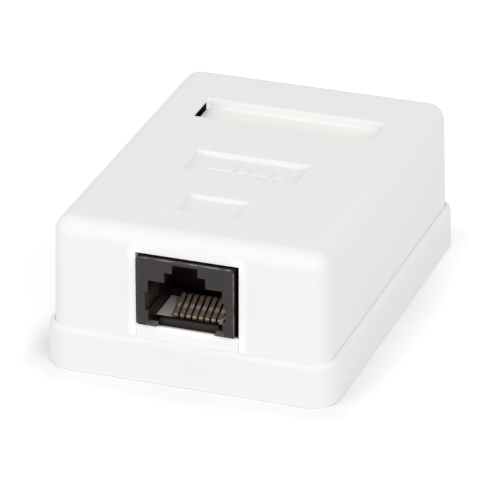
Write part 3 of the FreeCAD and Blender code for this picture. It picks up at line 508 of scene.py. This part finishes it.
for recess in recesses:
    coverZones += recessZones(recess, recessShade)
coverZones += [
    {                       # painted shade on the outer edges of the lid, left and back
        "low": (-23.0 * mm, -28.0 * mm, 22.6 * mm), "high": (-21.3 * mm, 28.0 * mm, 24.3 * mm),
        "softness": 0.5 * mm, "tone": (0.79, 0.79, 0.778),
    },
    {
        "low": (-20.0 * mm, 29.6 * mm, 22.6 * mm), "high": (20.0 * mm, 31.5 * mm, 24.6 * mm),
        "softness": 0.7 * mm, "tone": (0.775, 0.775, 0.763),
    },
    {                       # painted shade in the label's tuck slot, dark as the closed space under it
        "low": (-16.8 * mm, 11.75 * mm, lidTop - 5.0 * mm),
        "high": (-14.45 * mm, 17.75 * mm, lidTop - 0.33 * mm),
        "softness": 0.04 * mm, "tone": (0.012, 0.005, 0.005),
    },
]
baseZones = [
    {                       # painted light on the tongue under the jack, lifting the shade below it, so it reads paler than the cover beside it
        "low": (-8.25 * mm, -31.6 * mm, 4.6 * mm), "high": (8.25 * mm, -30.4 * mm, 9.4 * mm),
        "softness": 0.1 * mm, "tone": (0.872, 0.872, 0.862),
    },
    {                       # painted light, palest along its top under the jack's chin
        "low": (-8.25 * mm, -31.6 * mm, 9.0 * mm), "high": (8.25 * mm, -30.4 * mm, 9.6 * mm),
        "softness": 0.9 * mm, "tone": (0.97, 0.97, 0.96),
    },
    {                       # painted light on the lap round the cover's rim, lifting the seam's shade, along the sides and along the ends
        "low": (-22.5 * mm, -27.5 * mm, 5.0 * mm), "high": (22.5 * mm, 27.5 * mm, 6.9 * mm),
        "softness": 0.1 * mm, "tone": paintedLightTone,
    },
    {
        "low": (-18.5 * mm, -31.0 * mm, 5.0 * mm), "high": (18.5 * mm, 31.0 * mm, 6.9 * mm),
        "softness": 0.1 * mm, "tone": paintedLightTone,
    },
    {                       # painted light on the foot of the front wall, lifting its dark lower edge
        "low": (-21.0 * mm, -33.0 * mm, -1.0 * mm), "high": (22.4 * mm, -29.6 * mm, 0.25 * mm),
        "softness": 0.15 * mm, "tone": paintedLightTone,
    },
]
whitePlasticLook = {
    "toneA": (0.839, 0.841, 0.823), "toneB": (0.825, 0.827, 0.809), "driftScale": 30.0,
    "fineScale": 4200.0, "coarseScale": 800.0, "coarseShare": 0.35,
    "roughness": 0.56, "roughnessSwing": 0.1, "bumpStrength": 0.25, "bumpDepth": 0.04 * mm,
    "specular": 0.38,
}


def mirrored(zone):
    # the zone and its image across the middle of the box
    (left, *low), (right, *high) = zone["low"], zone["high"]
    return [zone, {**zone, "low": (-right, *low), "high": (-left, *high)}]


blackPlasticLook = {
    "toneA": (0.043, 0.039, 0.037), "toneB": (0.037, 0.034, 0.032), "driftScale": 60.0,
    "fineScale": 2600.0, "coarseScale": 500.0, "coarseShare": 0.5,
    "roughness": 0.45, "roughnessSwing": 0.1, "bumpStrength": 0.2, "bumpDepth": 0.03 * mm,
    "specular": 0.18,
    "zones": [
        {                   # painted shade deep in the plug cavity
            "low": (-5.9 * mm, jackLow[1] + 2.6 * mm, jackLow[2]),
            "high": (5.9 * mm, 0.0, jackHigh[2] - 1.4 * mm),
            "softness": 1.3 * mm, "tone": (0.024, 0.013, 0.01),
        },
        {                   # unlit walls of the mouth above the sills
            "low": (-6.1 * mm, jackLow[1] + 0.4 * mm, 10.4 * mm),
            "high": (6.1 * mm, 0.0, jackHigh[2] - 1.4 * mm),
            "softness": 0.35 * mm, "tone": unlit,
        },
        *mirrored({         # the same walls at floor level, behind the sills
            "low": (-6.1 * mm, jackLow[1] + 1.2 * mm, 9.0 * mm),
            "high": (-4.7 * mm, 0.0, 10.4 * mm),
            "softness": 0.2 * mm, "tone": unlit,
        }),
        *mirrored({         # painted light on the sills at the foot of the mouth
            "low": (-6.1 * mm, jackLow[1], 9.72 * mm),
            "high": (-4.7 * mm, jackLow[1] + 1.05 * mm, 10.2 * mm),
            "softness": 0.1 * mm, "tone": (0.14, 0.128, 0.12),
        }),
        {                   # unlit top and right side, in the gap to the cover
            "low": (jackLow[0], jackLow[1] + 0.6 * mm, jackHigh[2] - 0.08 * mm),
            "high": (jackHigh[0], jackHigh[1], jackHigh[2]),
            "softness": 0.1 * mm, "tone": inTheGap,
        },
        {
            "low": (jackHigh[0] - 0.08 * mm, jackLow[1] + 0.55 * mm, jackLow[2]),
            "high": (jackHigh[0], jackHigh[1], jackHigh[2]),
            "softness": 0.1 * mm, "tone": inTheGap,
        },
        {                   # painted highlights along the upper and right edges of the face, in patches
            "low": (jackLow[0] + 0.2 * mm, jackLow[1] + 0.1 * mm, jackHigh[2] - 0.06 * mm),
            "high": (jackHigh[0] - 0.5 * mm, jackLow[1] + 0.35 * mm, jackHigh[2]),
            "softness": 0.06 * mm, "tone": (0.22, 0.2, 0.188), "patchScale": 900.0,
        },
        {
            "low": (jackHigh[0] - 0.06 * mm, jackLow[1] + 0.1 * mm, jackLow[2]),
            "high": (jackHigh[0], jackLow[1] + 0.32 * mm, jackHigh[2] - 0.5 * mm),
            "softness": 0.06 * mm, "tone": (0.2, 0.18, 0.17), "patchScale": 900.0,
        },
    ],
}
greyPlasticLook = {
    "toneA": (0.78, 0.74, 0.71), "toneB": (0.74, 0.70, 0.67), "driftScale": 90.0,
    "fineScale": 3000.0, "coarseScale": 700.0, "coarseShare": 0.4,
    "roughness": 0.4, "roughnessSwing": 0.1, "bumpStrength": 0.2, "bumpDepth": 0.03 * mm,
    "zones": [{             # painted shade in the pit between the contacts
        "low": (-4.1 * mm, -29.2 * mm, 8.4 * mm), "high": (4.1 * mm, -20.0 * mm, 9.8 * mm),
        "softness": 0.1 * mm, "tone": (0.03, 0.022, 0.018),
    }],
}
blockPlasticLook = {
    "toneA": (0.78, 0.77, 0.72), "toneB": (0.74, 0.73, 0.68), "driftScale": 60.0,
    "fineScale": 3000.0, "coarseScale": 600.0, "coarseShare": 0.4,
    "roughness": 0.38, "roughnessSwing": 0.1, "bumpStrength": 0.2, "bumpDepth": 0.03 * mm,
}
gildedLook = {
    "toneA": (0.66, 0.52, 0.37), "toneB": (0.36, 0.25, 0.165), "driftScale": 650.0,
    "fineScale": 5000.0, "coarseScale": 900.0, "coarseShare": 0.4, "metallic": 0.5,
    "roughness": 0.45, "roughnessSwing": 0.08, "bumpStrength": 0.08, "bumpDepth": 0.02 * mm,
    # painted shade towards each contact strip's edges
    "edges": {"pitch": 1.016 * mm, "from": 0.25 * mm, "to": 0.37 * mm, "tone": (0.1, 0.06, 0.038)},
    "zones": [
        {                   # painted shade on the run up to the comb
            "low": (-5.0 * mm, -23.6 * mm, 6.0 * mm), "high": (5.0 * mm, -10.0 * mm, 13.0 * mm),
            "softness": 0.9 * mm, "tone": (0.52, 0.4, 0.31),
        },
        {                   # painted highlight across the contacts' knee
            "low": (-5.0 * mm, -24.65 * mm, 9.0 * mm), "high": (5.0 * mm, -24.4 * mm, 13.0 * mm),
            "softness": 0.45 * mm, "tone": (1.0, 0.88, 0.74),
        },
    ],
}
tinnedLook = {
    "toneA": (0.72, 0.71, 0.69), "toneB": (0.62, 0.61, 0.6), "driftScale": 300.0,
    "fineScale": 4000.0, "coarseScale": 900.0, "coarseShare": 0.6, "metallic": 1.0,
    "roughness": 0.34, "roughnessSwing": 0.15, "bumpStrength": 0.2, "bumpDepth": 0.02 * mm,
}
zincLook = {
    "toneA": (0.7, 0.7, 0.71), "toneB": (0.62, 0.63, 0.66), "driftScale": 200.0,
    "fineScale": 4500.0, "coarseScale": 700.0, "coarseShare": 0.4, "metallic": 1.0,
    "roughness": 0.28, "roughnessSwing": 0.12, "bumpStrength": 0.15, "bumpDepth": 0.02 * mm,
}
boardLook = {
    "toneA": (0.02, 0.16, 0.06), "toneB": (0.015, 0.13, 0.05), "driftScale": 120.0,
    "fineScale": 3000.0, "coarseScale": 400.0, "coarseShare": 0.8,
    "roughness": 0.3, "roughnessSwing": 0.1, "bumpStrength": 0.2, "bumpDepth": 0.03 * mm,
}
finishes = {
    "white_plastic": mouldedMaterial("sparkedWhitePlastic", whitePlasticLook),
    "black_plastic": mouldedMaterial("satinBlackPlastic", blackPlasticLook),
    "grey_plastic": mouldedMaterial("paleGreyPlastic", greyPlasticLook),
    "block_plastic": mouldedMaterial("ivoryBlockPlastic", blockPlasticLook),
    "gilt_contact": mouldedMaterial("giltBronze", gildedLook),
    "tinned_clip": mouldedMaterial("tinnedBronze", tinnedLook),
    "zinc_screw": mouldedMaterial("brightZinc", zincLook),
    "board_laminate": mouldedMaterial("maskedLaminate", boardLook),
}
nodeFinishes = {            # nodes with painted light and shade of their own
    "cover": mouldedMaterial("sparkedWhiteCover", {**whitePlasticLook, "zones": coverZones}),
    "base": mouldedMaterial("sparkedWhiteBase", {**whitePlasticLook, "zones": baseZones}),
}
print("finishes made:", len(finishes) + len(nodeFinishes))


# the moulded and stamped nodes, smoothed over their tangent edges
smoothing = {"mergeGap": 0.002 * mm, "sharpAngle": 32.0}       # the angle in degrees


def smoothNode(piece, s):
    count = len(piece.data.polygons)
    piece.data.polygons.foreach_set("use_smooth", np.ones(count, bool))
    weld = piece.modifiers.new("weld", "WELD")
    weld.merge_threshold = s["mergeGap"]
    split = piece.modifiers.new("sharpEdges", "EDGE_SPLIT")
    split.split_angle = math.radians(s["sharpAngle"])
    piece.modifiers.new("faceWeights", "WEIGHTED_NORMAL")


def dressNodes():
    slots = {row["node"]: row["material_slot"] for row in frame["record"]["subparts"]}
    for name, piece in nodes.items():
        piece.data.materials.clear()
        piece.data.materials.append(nodeFinishes.get(name) or finishes[slots[name]])
        smoothNode(piece, smoothing)


dressNodes()
print("nodes dressed")


# fine detail on the board and the punch-down blocks
ways = 8
contactNames = [f"contact_{i}" for i in range(1, ways + 1)]
clipNames = [f"idc_clip_{i}" for i in range(1, ways + 1)]


def closedPiece(name, verts, faces, finish):
    # a mesh with its faces turned outwards, riding on the wired base
    mesh = bpy.data.meshes.new(name)
    mesh.from_pydata(verts.reshape(-1, 3).tolist(), [], faces)
    shell = bmesh.new()
    shell.from_mesh(mesh)
    bmesh.ops.recalc_face_normals(shell, faces=shell.faces)
    shell.to_mesh(mesh)
    shell.free()
    piece = bpy.data.objects.new(name, mesh)
    bpy.context.scene.collection.objects.link(piece)
    mesh.materials.append(finish)
    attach(piece, "wired_base")
    return mesh


def tubeFaces(count, rings, sides):
    # for each of count tubes, quads between neighbouring rings and one closing face at each end
    i = np.arange(count * rings * sides).reshape(count, rings, sides)
    nextSide = np.roll(i, -1, axis=2)
    quads = np.stack([i[:, :-1], nextSide[:, :-1], nextSide[:, 1:], i[:, 1:]], -1).reshape(-1, 4)
    return quads.tolist() + i[:, 0].tolist() + i[:, -1].tolist()


def middle(name):
    low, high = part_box(name)
    return (np.array(low) + np.array(high)) / 2


traceSettings = {
    "width": 0.36 * mm,
    "topShare": 0.75,       # of the width
    "height": 0.04 * mm,
    "sink": 0.01 * mm,
    "tailFromBack": 0.125 * mm,
    "clipOrder": (1, 2, 3, 4, 8, 7, 6, 5),      # the outer contacts go to the front clips
}
traceLook = {**boardLook, "toneA": (0.035, 0.24, 0.09), "toneB": (0.028, 0.2, 0.075)}


def boardTraces(s):
    # copper runs: a trapezoid carried along a mitred path, straight back from a contact's tail,
    # then out at 45 degrees to a clip
    x = np.array([middle(name)[0] for name in contactNames])
    start = np.array([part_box(name)[1][1] for name in contactNames]) - s["tailFromBack"]
    end = np.array([middle(clipNames[i - 1])[:2] for i in s["clipOrder"]])
    turnAt = end[:, 1] - (np.abs(end[:, 0]) - np.abs(x))
    path = np.stack([np.stack([x, start], 1), np.stack([x, turnAt], 1), end], 1)
    run = np.diff(path, axis=1)
    run /= np.linalg.norm(run, axis=2, keepdims=True)
    side = np.stack([-run[..., 1], run[..., 0]], -1)
    # at the bend the offset is the sum of both sides over one plus their dot product
    bend = side.sum(1) / (1 + (side[:, 0] * side[:, 1]).sum(1, keepdims=True))
    offset = np.stack([side[:, 0], bend, side[:, 1]], 1)
    across = np.array([-1, -s["topShare"], s["topShare"], 1]) * s["width"] / 2
    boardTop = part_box("circuit_board")[1][2]
    steps, sides = path.shape[1], across.size
    verts = np.empty((ways, steps, sides, 3))
    verts[..., :2] = path[:, :, None] + offset[:, :, None] * across[:, None]
    verts[..., 2] = boardTop - s["sink"] + np.array([0, 1, 1, 0]) * s["height"]
    copper = mouldedMaterial("maskedCopper", traceLook)
    closedPiece("boardTraces", verts, tubeFaces(ways, steps, sides), copper)


markSettings = {
    "length": 2.0 * mm, "height": 1.7 * mm, "thickness": 0.07 * mm, "level": 13.4 * mm,
    "squareness": 5.0, "points": 32,
    "drawIn": (1.0, 1.0, 0.97, 0.9),            # share of the outline left at each ring
    "rise": (-0.5, 0.5, 0.85, 1.0),             # of the thickness, from the wall outwards
    "tones": (              # the usual wire colours, pale and full by turns, in the clips' order
        (0.5, 0.62, 0.85), (0.03, 0.1, 0.45), (0.92, 0.66, 0.48), (0.8, 0.2, 0.02),
        (0.55, 0.8, 0.58), (0.02, 0.28, 0.07), (0.7, 0.58, 0.48), (0.18, 0.07, 0.03),
    ),
}
markLook = {
    "toneA": (0.8, 0.8, 0.76), "toneB": (0.7, 0.7, 0.66), "driftScale": 900.0,
    "paint": "markTone", "paintFade": 0.25,
    "fineScale": 5000.0, "coarseScale": 900.0, "coarseShare": 0.4,
    "roughness": 0.42, "roughnessSwing": 0.1, "bumpStrength": 0.2, "bumpDepth": 0.02 * mm,
}


def wireMarks(s):
    # a low pillow beside each clip: a superellipse outline, where sine and cosine are raised to two
    # over the squareness with their signs kept, in rings that rise and draw in
    turn = np.linspace(0, 2 * np.pi, s["points"], endpoint=False)
    outline = np.stack([np.cos(turn), np.sin(turn)], 1)
    outline = np.sign(outline) * np.abs(outline) ** (2 / s["squareness"])
    outline *= (s["length"] / 2, s["height"] / 2)
    draw, rise = np.array(s["drawIn"]), np.array(s["rise"]) * s["thickness"]
    clips = np.array([middle(name) for name in clipNames])
    outward = np.sign(clips[:, 0])
    wall = np.where(outward > 0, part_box("idc_block_right")[1][0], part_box("idc_block_left")[0][0])
    verts = np.empty((ways, draw.size, s["points"], 3))
    verts[..., 0] = (wall[:, None] + outward[:, None] * rise)[:, :, None]
    verts[..., 1] = clips[:, 1, None, None] + draw[:, None] * outline[:, 0]
    verts[..., 2] = s["level"] + draw[:, None] * outline[:, 1]
    faces = tubeFaces(ways, draw.size, s["points"])
    paintedPlastic = mouldedMaterial("wireMarkPaint", markLook)
    mesh = closedPiece("wireMarks", verts, faces, paintedPlastic)
    tones = np.ones((ways, draw.size * s["points"], 4))
    tones[..., :3] = np.array(s["tones"])[:, None]
    paint = mesh.color_attributes.new(markLook["paint"], "FLOAT_COLOR", "POINT")
    paint.data.foreach_set("color", tones.ravel())


boardTraces(traceSettings)
wireMarks(markSettings)
print("board and blocks detailed")
